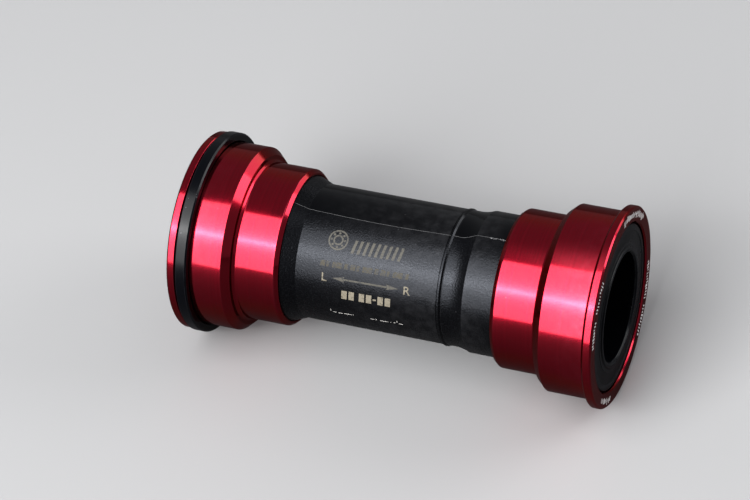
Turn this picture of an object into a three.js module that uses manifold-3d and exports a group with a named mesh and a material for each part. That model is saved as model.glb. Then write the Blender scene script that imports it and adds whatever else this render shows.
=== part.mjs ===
// Press-fit bottom bracket: two flanged bearing cups that push into a 41 mm frame shell,
// joined by a centre sleeve, with a cartridge bearing and a dust cover in each cup.
//
// Frame: millimetres, origin at the middle of the assembly on the spindle axis,
// +X towards the drive side, +Z up. Everything round turns about X.
//
// Each side is the same bearing unit. It is drawn for the drive side (+X),
// and the left one is that unit turned half a turn about Z.

import * as THREE from 'three';
import { mergeVertices } from 'three/addons/utils/BufferGeometryUtils.js';
import Module from 'manifold-3d';

const wasm = await Module();
wasm.setup();

// ---------------------------------------------------------------- driving dimensions

const SEGMENTS = 36;        // flats around every round piece, in step from piece to piece
const FIT = 0.05;           // clearance between pieces that are pressed or pushed together

const SHELL_WIDTH = 89.5;   // frame shell between the spacer and the drive side flange
const SPACER_WIDTH = 2.5;
const SPACER_R = 22.4;
const SPACER_BORE_R = 20.7; // slips over the left cup's barrel
const FLANGE_GAP = SHELL_WIDTH + SPACER_WIDTH;
const FLANGE_WIDTH = 2.1;
const FLANGE_R = 22.1;
const SHELL_BORE_R = 20.5;  // the cups' barrels fill a 41 mm bore

const FLANGE_INNER_X = FLANGE_GAP / 2;
const OUTER_X = FLANGE_INNER_X + FLANGE_WIDTH;
const BARREL_END_X = 36.1;  // where the 41 mm barrel stops and the shoulder begins
const SHOULDER_R = 19.0;
const SHOULDER_WIDTH = 1.6;
const NECK_R = 17.5;
const NECK_START_X = 33.9;
const NECK_FILLET = 0.6;    // between the neck and the shoulder's flat step
const LIP_X = 24.1;         // inner end of the cup
const LIP_SLOPE = 0.8;      // rounded edge of that end, along the axis
const LIP_DROP = 0.7;       // and towards it
const LIP_EDGE = 0.15;      // the last part of the slope, over the end face
const CUP_BORE_R = 16.35;
const EDGE = 0.3;           // chamfer on the flange's edges

const BEARING_R = 18.5;     // 25 x 37 x 7 mm cartridge
const BEARING_BORE_R = 12.5;
const BEARING_WIDTH = 7;
const BEARING_X = 42.9;     // middle of the bearing
const BALL_R = 1.75;
const BALL_COUNT = 16;
const BALL_SPACING = 2 * Math.PI / BALL_COUNT;
const PITCH_R = (BEARING_R + BEARING_BORE_R) / 2;
const GROOVE_R = 1.9;       // section radius of the ball grooves
const LAND = 1.1;           // distance of each race's land from the pitch circle
const SEAL_WIDTH = 0.6;
const SEAL_INSET = 0.1;
const SEAL_SEAT_DEPTH = 0.3;
const SEAL_LIP_GAP = 0.15;  // between each seal's inner edge and the turning race
const CAGE_HALF_HEIGHT = 0.8;
const CAGE_BACK = 2.3;      // solid side of the cage
const CAGE_FRONT = 1.1;     // open side, where the balls snap in
const POCKET_R = 1.95;
const POCKET_DEPTH = 4;     // length of the round cut that makes a pocket, more than the cage's wall
const POCKET_SIDES = 10;
const BALL_SIDES = 8;
const BALL_BANDS = 6;

const SPINDLE_R = 12.0;     // bore of the dust covers, for a 24 mm spindle
const COVER_R = 18.2;
const COVER_FACE_X = 47.7;
const COVER_LIP_X = 48.0;
const COVER_LIP_R = 13.3;
const COVER_EDGE = 0.3;     // chamfers on the lip
const COVER_WALL = 1.0;
const COVER_BOSS_R = 14.0;  // the part of the cover that leans on the inner race
const COVER_TUBE_LENGTH = 5;

const PLUG_R = 16.2;        // ends of the sleeve, inside the cups
const PLUG_END_X = 33.2;
const CONE_END_X = 20.9;
const TUBE_R = 14.9;
const BEAD_X = 11.4;
const BEAD_WIDTH = 1.0;
const BEAD_HEIGHT = 0.25;   // its flanks slope at 45 degrees
const BAND_X = 17.4;        // where the thicker band at the drive side starts
const BAND_R = 15.6;
const BAND_SLOPE = 0.3;     // length of the step up to the band
const SLEEVE_BORE_R = 13.6;
const SLEEVE_END_BORE_R = 14.3;
const HIDDEN_STEP_X = 24.5; // just inside each cup, where the section changes
const HIDDEN_STEP = 0.6;
const RING_X = 30.2;        // middle of each O-ring
const RING_GROOVE_WIDTH = 1.5;
const RING_GROOVE_R = 15.25;
const RING_SECTION_R = 0.5;

// ---------------------------------------------------------------- materials

const finish = (color, roughness, metalness) =>
  new THREE.MeshStandardMaterial({ color, roughness, metalness });

const red = () => finish(0x9c0f1e, 0.28, 0.9);
const satinBlack = () => finish(0x17171a, 0.5, 0.0);
const mouldedBlack = () => finish(0x1e1e22, 0.65, 0.0);
const bearingSteel = () => finish(0xb9bcc0, 0.25, 1.0);
const cagePlastic = () => finish(0xd8cfb0, 0.6, 0.0);
const rubber = () => finish(0x101012, 0.85, 0.0);

// ---------------------------------------------------------------- building blocks

// A closed ring about X. The profile lists [x, radius] points around the ring's section,
// in the sense that walks its outer surface towards +X and its bore back towards -X.
function ring(profile) {
  const points = profile.map(([x, radius]) => new THREE.Vector2(radius, x));
  points.push(points[0].clone());
  return new THREE.LatheGeometry(points, SEGMENTS).rotateZ(-Math.PI / 2);
}

// Points of an arc in a ring's section, centre [x, radius], angles in degrees from +X.
function arc(x, radius, sectionRadius, from, to, steps) {
  return Array.from({ length: steps + 1 }, (_, i) => {
    const angle = THREE.MathUtils.degToRad(from + (to - from) * i / steps);
    return [x + sectionRadius * Math.cos(angle), radius + sectionRadius * Math.sin(angle)];
  });
}

function toSolid(geometry) {
  const bare = geometry.clone();
  bare.deleteAttribute('normal');
  bare.deleteAttribute('uv');
  const merged = mergeVertices(bare, 1e-4);
  return new wasm.Manifold(new wasm.Mesh({
    numProp: 3,
    vertProperties: new Float32Array(merged.attributes.position.array),
    triVerts: new Uint32Array(merged.index.array),
  }));
}

function toGeometry(solid) {
  const mesh = solid.getMesh();
  const geometry = new THREE.BufferGeometry();
  geometry.setAttribute('position', new THREE.BufferAttribute(mesh.vertProperties, 3));
  geometry.setIndex(new THREE.BufferAttribute(mesh.triVerts, 1));
  return geometry;
}

function named(name, geometry, material) {
  const mesh = new THREE.Mesh(geometry, material);
  mesh.name = name;
  return mesh;
}

// ---------------------------------------------------------------- the bearing cup

function cup() {
  const seatR = BEARING_R + FIT;
  const seatFloorX = BEARING_X - BEARING_WIDTH / 2 - FIT;
  return ring([
    [LIP_X, CUP_BORE_R],
    [LIP_X + LIP_EDGE, NECK_R - LIP_DROP],
    [LIP_X + LIP_EDGE + LIP_SLOPE, NECK_R],
    [NECK_START_X, NECK_R],
    [BARREL_END_X - SHOULDER_WIDTH, NECK_R + NECK_FILLET],
    [BARREL_END_X - SHOULDER_WIDTH, SHOULDER_R],
    [BARREL_END_X, SHELL_BORE_R],
    [FLANGE_INNER_X, SHELL_BORE_R],
    [FLANGE_INNER_X, FLANGE_R - EDGE],
    [FLANGE_INNER_X + EDGE, FLANGE_R],
    [OUTER_X - EDGE, FLANGE_R],
    [OUTER_X, FLANGE_R - EDGE],
    [OUTER_X, seatR + EDGE],
    [OUTER_X - EDGE, seatR],
    [seatFloorX, seatR],
    [seatFloorX, CUP_BORE_R],
  ]);
}

// ---------------------------------------------------------------- the cartridge bearing

const grooveAngle = THREE.MathUtils.radToDeg(Math.asin(LAND / GROOVE_R));
const sealSeatX = BEARING_WIDTH / 2 - SEAL_INSET - SEAL_WIDTH;

function outerRace() {
  const half = BEARING_WIDTH / 2;
  const landR = PITCH_R + LAND;
  return ring([
    [-half, BEARING_R],
    [half, BEARING_R],
    [half, landR + SEAL_SEAT_DEPTH],
    [sealSeatX, landR + SEAL_SEAT_DEPTH],
    [sealSeatX, landR],
    ...arc(0, PITCH_R, GROOVE_R, grooveAngle, 180 - grooveAngle, 4),
    [-sealSeatX, landR],
    [-sealSeatX, landR + SEAL_SEAT_DEPTH],
    [-half, landR + SEAL_SEAT_DEPTH],
  ]);
}

function innerRace() {
  const half = BEARING_WIDTH / 2;
  const landR = PITCH_R - LAND;
  return ring([
    [half, landR],
    [half, BEARING_BORE_R],
    [-half, BEARING_BORE_R],
    [-half, landR],
    ...arc(0, PITCH_R, GROOVE_R, 180 + grooveAngle, 360 - grooveAngle, 4),
  ]);
}

// A crown cage: its pockets close around each ball past the middle and stay open at one side.
function ballCage() {
  const band = toSolid(ring([
    [-CAGE_BACK, PITCH_R + CAGE_HALF_HEIGHT],
    [CAGE_FRONT, PITCH_R + CAGE_HALF_HEIGHT],
    [CAGE_FRONT, PITCH_R - CAGE_HALF_HEIGHT],
    [-CAGE_BACK, PITCH_R - CAGE_HALF_HEIGHT],
  ]));
  let cage = band;
  for (let i = 0; i < BALL_COUNT; i += 1) {
    const pocket = new THREE.CylinderGeometry(POCKET_R, POCKET_R, POCKET_DEPTH, POCKET_SIDES);
    pocket.translate(0, PITCH_R, 0);
    pocket.rotateX(i * BALL_SPACING);
    cage = cage.subtract(toSolid(pocket));
  }
  return toGeometry(cage);
}

function seal() {
  const landR = PITCH_R + LAND;
  return ring([
    [0, landR + SEAL_SEAT_DEPTH - FIT],
    [SEAL_WIDTH, landR + SEAL_SEAT_DEPTH - FIT],
    [SEAL_WIDTH, PITCH_R - LAND + SEAL_LIP_GAP],
    [0, PITCH_R - LAND + SEAL_LIP_GAP],
  ]);
}

function bearing(side) {
  const group = new THREE.Group();
  group.add(named(`${side}_outer_race`, outerRace(), bearingSteel()));
  group.add(named(`${side}_inner_race`, innerRace(), bearingSteel()));
  group.add(named(`${side}_ball_cage`, ballCage(), cagePlastic()));
  for (let i = 0; i < BALL_COUNT; i += 1) {
    const angle = i * BALL_SPACING;
    const number = String(i + 1).padStart(2, '0');
    const sphere = new THREE.SphereGeometry(BALL_R, BALL_SIDES, BALL_BANDS);
    const ball = named(`${side}_ball_${number}`, sphere, bearingSteel());
    ball.position.set(0, PITCH_R * Math.cos(angle), PITCH_R * Math.sin(angle));
    group.add(ball);
  }
  const outerSeal = named(`${side}_outer_seal`, seal(), rubber());
  outerSeal.position.x = sealSeatX + FIT;
  group.add(outerSeal);
  const innerSeal = named(`${side}_inner_seal`, seal(), rubber());
  innerSeal.position.x = -sealSeatX - FIT - SEAL_WIDTH;
  group.add(innerSeal);
  return group;
}

// ---------------------------------------------------------------- the dust cover

// A top hat: its tube lines the inner race, its boss leans on that race, and its brim
// covers the bearing inside the mouth of the cup.
function dustCover() {
  const raceX = BEARING_X + BEARING_WIDTH / 2 + FIT;
  const brimBackX = COVER_FACE_X - COVER_WALL;
  return ring([
    [raceX - COVER_TUBE_LENGTH, SPINDLE_R],
    [raceX - COVER_TUBE_LENGTH, BEARING_BORE_R - FIT],
    [raceX, BEARING_BORE_R - FIT],
    [raceX, COVER_BOSS_R],
    [brimBackX, COVER_BOSS_R],
    [brimBackX, COVER_R],
    [COVER_FACE_X, COVER_R],
    [COVER_FACE_X, COVER_LIP_R],
    [COVER_LIP_X, COVER_LIP_R - COVER_EDGE],
    [COVER_LIP_X, SPINDLE_R + COVER_EDGE],
    [COVER_LIP_X - COVER_EDGE, SPINDLE_R],
  ]);
}

// ---------------------------------------------------------------- the sleeve and its seals

function ringGroove(side) {
  const near = side * RING_X - RING_GROOVE_WIDTH / 2;
  const far = side * RING_X + RING_GROOVE_WIDTH / 2;
  return [[near, PLUG_R], [near, RING_GROOVE_R], [far, RING_GROOVE_R], [far, PLUG_R]];
}

function centreSleeve() {
  const beadTopR = TUBE_R + BEAD_HEIGHT;
  return ring([
    [-PLUG_END_X, SLEEVE_END_BORE_R],
    [-PLUG_END_X, PLUG_R],
    ...ringGroove(-1),
    [-LIP_X, PLUG_R],
    [-CONE_END_X, TUBE_R],
    [BEAD_X, TUBE_R],
    [BEAD_X + BEAD_HEIGHT, beadTopR],
    [BEAD_X + BEAD_WIDTH - BEAD_HEIGHT, beadTopR],
    [BEAD_X + BEAD_WIDTH, TUBE_R],
    [BAND_X - BAND_SLOPE, TUBE_R],
    [BAND_X, BAND_R],
    [HIDDEN_STEP_X, BAND_R],
    [HIDDEN_STEP_X + HIDDEN_STEP, PLUG_R],
    ...ringGroove(1),
    [PLUG_END_X, PLUG_R],
    [PLUG_END_X, SLEEVE_END_BORE_R],
    [HIDDEN_STEP_X, SLEEVE_END_BORE_R],
    [CONE_END_X, SLEEVE_BORE_R],
    [-CONE_END_X, SLEEVE_BORE_R],
    [-HIDDEN_STEP_X, SLEEVE_END_BORE_R],
  ]);
}

function sleeveRing() {
  const middle = (RING_GROOVE_R + CUP_BORE_R) / 2;
  return ring(arc(0, middle, RING_SECTION_R, 180, -120, 5)); // a six-sided section
}

// ---------------------------------------------------------------- the spacer

function shellSpacer() {
  return ring([
    [0, SPACER_BORE_R],
    [0, SPACER_R],
    [SPACER_WIDTH - EDGE, SPACER_R],
    [SPACER_WIDTH, SPACER_R - EDGE],
    [SPACER_WIDTH, SPACER_BORE_R],
  ]);
}

// ---------------------------------------------------------------- assembly

// One side, drawn for the drive side: the cup, the bearing pressed into it, the cover.
function bearingUnit(side) {
  const unit = new THREE.Group();
  unit.add(named(`${side}_cup`, cup(), red()));
  const cartridge = bearing(side);
  cartridge.position.x = BEARING_X;
  unit.add(cartridge);
  unit.add(named(`${side}_dust_cover`, dustCover(), satinBlack()));
  const oRing = named(`${side}_sleeve_ring`, sleeveRing(), rubber());
  oRing.position.x = RING_X;
  unit.add(oRing);
  return unit;
}

const bottomBracket = new THREE.Group();

bottomBracket.add(bearingUnit('right'));

const leftUnit = bearingUnit('left');
leftUnit.rotation.z = Math.PI;
bottomBracket.add(leftUnit);

bottomBracket.add(named('centre_sleeve', centreSleeve(), mouldedBlack()));

const spacer = named('left_shell_spacer', shellSpacer(), satinBlack());
spacer.position.x = -FLANGE_INNER_X + 2 * FIT;
bottomBracket.add(spacer);

export default bottomBracket;
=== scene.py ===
# %% [markdown]
# # A press-fit bottom bracket
#
# This part carries a bicycle's crank spindle. Two red cups are pressed into the ends of the
# frame's shell, a black moulded sleeve joins them and keeps water out, and each cup holds a
# cartridge bearing behind a black dust cover. Nearly everything is round about one axis, so
# the lesson is mostly about turning: how one section, spun about X, becomes a finished part
# whose edges are rounded finely enough to catch the light.
#
# The model from CAD is the frame to build on. It is loaded first, and every place below is
# read from it or measured out from it in millimetres.

import math

import bmesh
import bpy
from mathutils import Matrix, Vector, noise


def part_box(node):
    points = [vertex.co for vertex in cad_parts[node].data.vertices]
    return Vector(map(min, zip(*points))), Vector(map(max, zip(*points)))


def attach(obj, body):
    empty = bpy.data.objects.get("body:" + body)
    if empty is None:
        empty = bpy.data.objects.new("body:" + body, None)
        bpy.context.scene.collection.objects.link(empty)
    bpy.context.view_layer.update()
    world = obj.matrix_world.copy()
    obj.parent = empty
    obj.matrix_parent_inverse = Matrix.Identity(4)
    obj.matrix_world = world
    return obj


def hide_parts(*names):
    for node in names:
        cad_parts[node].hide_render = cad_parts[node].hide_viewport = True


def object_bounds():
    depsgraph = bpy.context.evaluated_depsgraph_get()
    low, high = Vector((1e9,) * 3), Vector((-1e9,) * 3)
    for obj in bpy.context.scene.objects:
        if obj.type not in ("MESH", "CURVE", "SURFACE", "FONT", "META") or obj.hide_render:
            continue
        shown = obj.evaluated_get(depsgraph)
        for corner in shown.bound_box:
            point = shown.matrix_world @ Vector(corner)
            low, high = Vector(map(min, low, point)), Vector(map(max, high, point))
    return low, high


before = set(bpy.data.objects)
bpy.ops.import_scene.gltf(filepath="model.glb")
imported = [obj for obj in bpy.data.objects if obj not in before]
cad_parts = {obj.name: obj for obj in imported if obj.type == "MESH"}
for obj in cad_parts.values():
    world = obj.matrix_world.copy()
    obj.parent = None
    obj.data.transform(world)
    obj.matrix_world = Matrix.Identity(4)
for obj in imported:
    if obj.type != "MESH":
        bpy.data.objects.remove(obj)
cad_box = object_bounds()
MM = 0.001
SIDES = (("right", 1), ("left", -1))


def span(node):
    """Lowest x, highest x and outer radius of a round CAD node, in millimetres."""
    low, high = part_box(node)
    return low.x / MM, high.x / MM, high.z / MM


for node_name in ("right_cup", "centre_sleeve", "left_shell_spacer", "right_dust_cover"):
    print(node_name, ["%.2f" % value for value in span(node_name)])

# %% [markdown]
# ## Wiring nodes from a script
#
# Node trees are easiest to read when each node is one call that names its settings and what
# feeds it. These helpers do only that, for geometry and for shader trees alike. A float, a
# vector or another node's output can be given to any input.

# %% Helpers for node trees
def add(tree, kind, links=None, **settings):
    """Adds a node: settings are its properties, links give inputs a value or an output."""
    made = tree.nodes.new(kind)
    for key, value in settings.items():
        setattr(made, key, value)
    for socket, value in (links or {}).items():
        join(tree, value, made.inputs[socket])
    return made


def join(tree, value, target):
    """Feeds one input from an output socket, or sets its value."""
    if isinstance(value, bpy.types.NodeSocket):
        tree.links.new(value, target)
    else:
        target.default_value = value


def calc(tree, operation, first, second=0.0, third=0.0):
    """One Math node; returns its output."""
    made = add(tree, "ShaderNodeMath", {0: first, 1: second, 2: third}, operation=operation)
    return made.outputs[0]


def sockets(tree, inputs, outputs):
    """Names the inputs and outputs of a group: each is (name, type, default)."""
    for direction, rows in (("INPUT", inputs), ("OUTPUT", outputs)):
        for name, kind, default in rows:
            made = tree.interface.new_socket(name, in_out=direction, socket_type="NodeSocket" + kind)
            if default is not None:
                made.default_value = default
    return add(tree, "NodeGroupInput").outputs, add(tree, "NodeGroupOutput").inputs


def finish_geometry(tree, mesh, material, target):
    """The last nodes of every geometry tree here: real faces, then their material."""
    real = add(tree, "GeometryNodeRealizeInstances", {"Geometry": mesh})
    dressed = add(tree, "GeometryNodeSetMaterial", {"Geometry": real.outputs[0], "Material": material})
    tree.links.new(dressed.outputs[0], target)


print("helpers ready")

# %% [markdown]
# ## A lathe made of geometry nodes
#
# A turned part is a section swept around the axis. Blender's Screw modifier or Spin tool can
# do it too, but a node tree with named inputs is one lathe for every part here. It takes the
# section as a loop of points, lays out a grid with one row for each point, and bends the grid
# into a ring. The two seams are then welded, so the ring is a closed body. The loop's own
# "edge" value, which is 1 on rounded corners, rides along for the materials to use.

# %% The lathe tree
def lathe_tree():
    tree = bpy.data.node_groups.new("Turn on the lathe", "GeometryNodeTree")
    given, result = sockets(
        tree,
        [("Section", "Geometry", None), ("Segments", "Int", 192), ("Material", "Material", None)],
        [("Ring", "Geometry", None)],
    )
    count = add(tree, "GeometryNodeAttributeDomainSize", {"Geometry": given["Section"]}).outputs[0]
    rows = calc(tree, "ADD", count, 1.0)
    columns = calc(tree, "ADD", given["Segments"], 1.0)
    grid = add(tree, "GeometryNodeMeshGrid", {"Vertices X": rows, "Vertices Y": columns})
    index = add(tree, "GeometryNodeInputIndex").outputs[0]
    row = calc(tree, "FLOOR", calc(tree, "DIVIDE", calc(tree, "ADD", index, 0.5), columns))
    column = calc(tree, "SUBTRACT", index, calc(tree, "MULTIPLY", row, columns))
    angle = calc(tree, "MULTIPLY", calc(tree, "DIVIDE", column, given["Segments"]), 2 * math.pi)
    source = calc(tree, "MODULO", calc(tree, "ADD", row, 0.5), count)

    def of_section(value, kind):
        """What the section's own point holds, for each point of the grid."""
        looked = add(tree, "GeometryNodeSampleIndex", data_type=kind, domain="POINT")
        tree.links.new(given["Section"], looked.inputs["Geometry"])
        tree.links.new(value, looked.inputs["Value"])
        tree.links.new(calc(tree, "FLOOR", source), looked.inputs["Index"])
        return looked.outputs["Value"]

    point = of_section(add(tree, "GeometryNodeInputPosition").outputs[0], "FLOAT_VECTOR")
    named_edge = add(tree, "GeometryNodeInputNamedAttribute", {"Name": "edge"}, data_type="FLOAT")
    edge = of_section(named_edge.outputs["Attribute"], "FLOAT")
    parts = add(tree, "ShaderNodeSeparateXYZ", {0: point}).outputs
    bent = add(tree, "ShaderNodeCombineXYZ", {
        "X": parts["X"],
        "Y": calc(tree, "MULTIPLY", parts["Z"], calc(tree, "SINE", angle)),
        "Z": calc(tree, "MULTIPLY", parts["Z"], calc(tree, "COSINE", angle)),
    })
    ring = add(tree, "GeometryNodeSetPosition", {"Geometry": grid.outputs[0], "Position": bent.outputs[0]})
    marked = add(tree, "GeometryNodeStoreNamedAttribute",
                 {"Geometry": ring.outputs[0], "Name": "edge", "Value": edge}, data_type="FLOAT")
    welded = add(tree, "GeometryNodeMergeByDistance", {"Geometry": marked.outputs[0], "Distance": 1e-7})
    smooth = add(tree, "GeometryNodeSetShadeSmooth", {"Geometry": welded.outputs[0]})
    finish_geometry(tree, smooth.outputs[0], given["Material"], result["Ring"])
    return tree


LATHE = lathe_tree()
print("lathe tree:", len(LATHE.nodes), "nodes")

# %% [markdown]
# ## From a tree to a plain mesh
#
# A modifier's inputs are known by identifiers, not by their names, so a small function looks
# each one up. The evaluated result is copied into a new, plain object at the origin, and the
# modifier goes. Each finished piece is measured: its volume is positive only when it is closed
# and its faces point outwards.

# %% Run a tree and keep its result
def run_tree(tree, name, mesh, values):
    """Puts mesh through a geometry tree with the named values; returns a plain new object."""
    blank = bpy.data.objects.new(name + "_blank", mesh)
    bpy.context.scene.collection.objects.link(blank)
    modifier = blank.modifiers.new("tree", "NODES")
    modifier.node_group = tree
    for item in tree.interface.items_tree:
        if item.in_out == "INPUT" and item.name in values:
            modifier[item.identifier] = values[item.name]
    bpy.context.view_layer.update()
    ready = blank.evaluated_get(bpy.context.evaluated_depsgraph_get())
    result = bpy.data.objects.new(name, bpy.data.meshes.new_from_object(ready))
    result.data.name = name
    bpy.context.scene.collection.objects.link(result)
    bpy.data.objects.remove(blank)
    return result


def measure(piece):
    """Volume in cubic millimetres, triangle count and the number of open edges."""
    shape = bmesh.new()
    shape.from_mesh(piece.data)
    volume = shape.calc_volume(signed=True) / MM ** 3
    triangles = sum(len(face.verts) - 2 for face in shape.faces)
    loose = sum(1 for edge in shape.edges if not edge.is_manifold)
    shape.free()
    return volume, triangles, loose


def settle(piece, body, slot, *nodes):
    """Gives a piece its body, hides the CAD nodes it stands for, and reports; the slot is not used."""
    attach(piece, body)
    if nodes:
        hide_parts(*nodes)
    volume, triangles, loose = measure(piece)
    print(f"{piece.name}: {volume:.1f} mm3, {triangles} triangles, {loose} open edges")


# %% [markdown]
# ## Sections with rounded corners
#
# No real edge is perfectly sharp, and the thin bright lines along turned edges are what makes
# metal look like metal. Each section is a list of corners, [x, radius, rounding] in
# millimetres, walked so that the outer surface runs towards +X. A rounded corner becomes a
# short arc. Just beside each arc goes one more point, a holding point, so that smooth shading
# stays on the arc and the long faces stay flat.

# %% Rounding a section
ARC_STEPS = 5
HOLD = 0.05


def rounded(corners):
    """Section points (x, radius, edge) from corners (x, radius, rounding), all in millimetres."""
    points = []
    for i, (x, radius, rounding) in enumerate(corners):
        here = Vector((x, radius))
        back = Vector(corners[i - 1][:2]) - here
        ahead = Vector(corners[(i + 1) % len(corners)][:2]) - here
        opening = back.angle(ahead)
        if rounding <= 0 or opening > math.radians(176):
            points.append((x, radius, 0.0))
            continue
        reach = rounding / math.tan(opening / 2)
        limit = 0.45 * min(back.length, ahead.length)
        reach = min(reach, limit)
        arc_radius = reach * math.tan(opening / 2)
        inward = (back.normalized() + ahead.normalized()).normalized()
        middle = here + inward * arc_radius / math.sin(opening / 2)
        start = here + back.normalized() * reach - middle
        turn = start.angle_signed(here + ahead.normalized() * reach - middle)
        convex = 1.0 if back.x * ahead.y - back.y * ahead.x > 0 else 0.0
        if reach + HOLD < limit:
            points.append((*(here + back.normalized() * (reach + HOLD)), 0.0))
        for step in range(ARC_STEPS + 1):
            spoke = start.copy()
            spoke.rotate(Matrix.Rotation(-turn * step / ARC_STEPS, 2))
            points.append((*(middle + spoke), convex))
        if reach + HOLD < limit:
            points.append((*(here + ahead.normalized() * (reach + HOLD)), 0.0))
    return points


def facing(corners, side):
    """The same ring at either end: 1 keeps it at the drive side, -1 turns it end for end."""
    if side > 0:
        return corners
    return [(-x, radius, rounding) for x, radius, rounding in reversed(corners)]


def turned(name, corners, material, segments=192):
    """Turns one ring on the lathe tree; corners as for rounded()."""
    points = rounded(corners)
    mesh = bpy.data.meshes.new(name + "_section")
    loop = [(i, (i + 1) % len(points)) for i in range(len(points))]
    mesh.from_pydata([(x * MM, 0.0, radius * MM) for x, radius, _ in points], loop, [])
    edge = mesh.attributes.new("edge", "FLOAT", "POINT")
    edge.data.foreach_set("value", [value for _, _, value in points])
    return run_tree(LATHE, name, mesh, {"Segments": segments, "Material": material})


print("a test corner becomes", len(rounded([(0, 1, 0.1), (1, 1, 0.1), (1, 2, 0.1), (0, 2, 0.1)])), "points")

# %% [markdown]
# ## Finishes shared by the materials
#
# Four effects turn up on several pieces, so each is a shader node group with its own named
# inputs: the fine rings that a lathe leaves, the grain of a moulded or blasted surface, wear
# on rounded edges, and faint smudges from handling. All of them read Object coordinates or the
# "edge" value stored on the mesh, so they stay put when the bearing turns or the view changes.

# %% Shader groups
def lathe_rings_group():
    """Rings about X: a one-dimensional noise of x and radius, which changes on every face."""
    tree = bpy.data.node_groups.new("Lathe rings", "ShaderNodeTree")
    given, result = sockets(
        tree, [("Pitch", "Float", 0.0001)], [("Height", "Float", None), ("Shade", "Float", None)])
    place = add(tree, "ShaderNodeTexCoord").outputs["Object"]
    parts = add(tree, "ShaderNodeSeparateXYZ", {0: place}).outputs
    radius = calc(tree, "SQRT", calc(tree, "ADD", calc(tree, "POWER", parts["Y"], 2.0),
                                     calc(tree, "POWER", parts["Z"], 2.0)))
    along = calc(tree, "ADD", calc(tree, "MULTIPLY", radius, 0.83), parts["X"])
    fine = add(tree, "ShaderNodeTexNoise",
               {"W": calc(tree, "DIVIDE", along, given["Pitch"]), "Scale": 1.0, "Detail": 2.0},
               noise_dimensions="1D")
    broad = add(tree, "ShaderNodeTexNoise",
                {"W": calc(tree, "DIVIDE", along, given["Pitch"]), "Scale": 0.12, "Detail": 3.0},
                noise_dimensions="1D")
    tree.links.new(fine.outputs[0], result["Height"])
    tree.links.new(broad.outputs[0], result["Shade"])
    return tree


def grain_group():
    """The pebbled skin of a spark-eroded mould, with a mask of its small peaks, which the finishes paint
    lighter as a painted glint.
    """
    tree = bpy.data.node_groups.new("Moulded grain", "ShaderNodeTree")
    given, result = sockets(
        tree, [("Size", "Float", 0.00015)], [("Height", "Float", None), ("Glint Peaks", "Float", None)])
    place = add(tree, "ShaderNodeTexCoord").outputs["Object"]
    scale = calc(tree, "DIVIDE", 1.0, given["Size"])
    pebbles = add(tree, "ShaderNodeTexVoronoi", {"Vector": place, "Scale": scale}, feature="SMOOTH_F1")
    broken = add(tree, "ShaderNodeTexNoise",
                 {"Vector": place, "Scale": calc(tree, "MULTIPLY", scale, 0.6), "Detail": 3.0})
    height = calc(tree, "SUBTRACT", broken.outputs[0], calc(tree, "MULTIPLY", pebbles.outputs[0], 0.7))
    peaks = add(tree, "ShaderNodeMapRange", {0: height, 1: 0.22, 2: 0.42, 3: 0.0, 4: 1.0})
    tree.links.new(height, result["Height"])
    tree.links.new(peaks.outputs[0], result["Glint Peaks"])
    return tree


def edge_wear_group():
    """Where handling has rubbed the rounded edges: the stored edge value, broken up."""
    tree = bpy.data.node_groups.new("Edge wear", "ShaderNodeTree")
    given, result = sockets(
        tree, [("Amount", "Float", 0.5), ("Patch Size", "Float", 0.002)], [("Mask", "Float", None)])
    place = add(tree, "ShaderNodeTexCoord").outputs["Object"]
    edge = add(tree, "ShaderNodeAttribute", attribute_name="edge").outputs["Fac"]
    patches = add(tree, "ShaderNodeTexNoise",
                  {"Vector": place, "Scale": calc(tree, "DIVIDE", 1.0, given["Patch Size"]), "Detail": 4.0})
    rubbed = add(tree, "ShaderNodeMapRange", {0: patches.outputs[0], 1: 0.38, 2: 0.72, 3: 0.25, 4: 1.0})
    tree.links.new(calc(tree, "MULTIPLY", calc(tree, "MULTIPLY", edge, rubbed.outputs[0]), given["Amount"]),
                   result["Mask"])
    return tree


def smudge_group():
    """Soft handling marks, and fine dust specks that catch the light."""
    tree = bpy.data.node_groups.new("Smudges and dust", "ShaderNodeTree")
    given, result = sockets(
        tree, [("Size", "Float", 0.012)], [("Smudge", "Float", None), ("Dust", "Float", None)])
    place = add(tree, "ShaderNodeTexCoord").outputs["Object"]
    soft = add(tree, "ShaderNodeTexNoise",
               {"Vector": place, "Scale": calc(tree, "DIVIDE", 1.0, given["Size"]), "Detail": 5.0,
                "Distortion": 0.6})
    specks = add(tree, "ShaderNodeTexVoronoi", {"Vector": place, "Scale": 620.0, "Randomness": 1.0})
    size = add(tree, "ShaderNodeSeparateColor", {0: specks.outputs["Color"]}).outputs[0]
    small = calc(tree, "MULTIPLY", calc(tree, "POWER", size, 6.0), 0.11)
    dust = calc(tree, "LESS_THAN", specks.outputs["Distance"], small)
    tree.links.new(soft.outputs[0], result["Smudge"])
    tree.links.new(dust, result["Dust"])
    return tree


RINGS = lathe_rings_group()
GRAIN = grain_group()
WEAR = edge_wear_group()
SMUDGES = smudge_group()
print("shader groups:", [group.name for group in (RINGS, GRAIN, WEAR, SMUDGES)])

# %% [markdown]
# ## Material helpers
#
# Every material below is one Principled BSDF. Plain numbers go straight onto its sockets, and
# only what changes over the surface is wired in.

# %% Start a material
def new_finish(name, **values):
    """A material with a Principled BSDF; values set its plain sockets, such as Metallic=1."""
    finish = bpy.data.materials.new(name)
    finish.use_nodes = True
    shader = finish.node_tree.nodes["Principled BSDF"]
    for key, value in values.items():
        shader.inputs[key.replace("_", " ")].default_value = value
    return finish, finish.node_tree, shader.inputs


def effect(tree, group, **values):
    """Places a shared effect with its own values, and returns its outputs."""
    made = add(tree, "ShaderNodeGroup", node_tree=group)
    for key, value in values.items():
        made.inputs[key.replace("_", " ")].default_value = value
    return made.outputs


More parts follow.
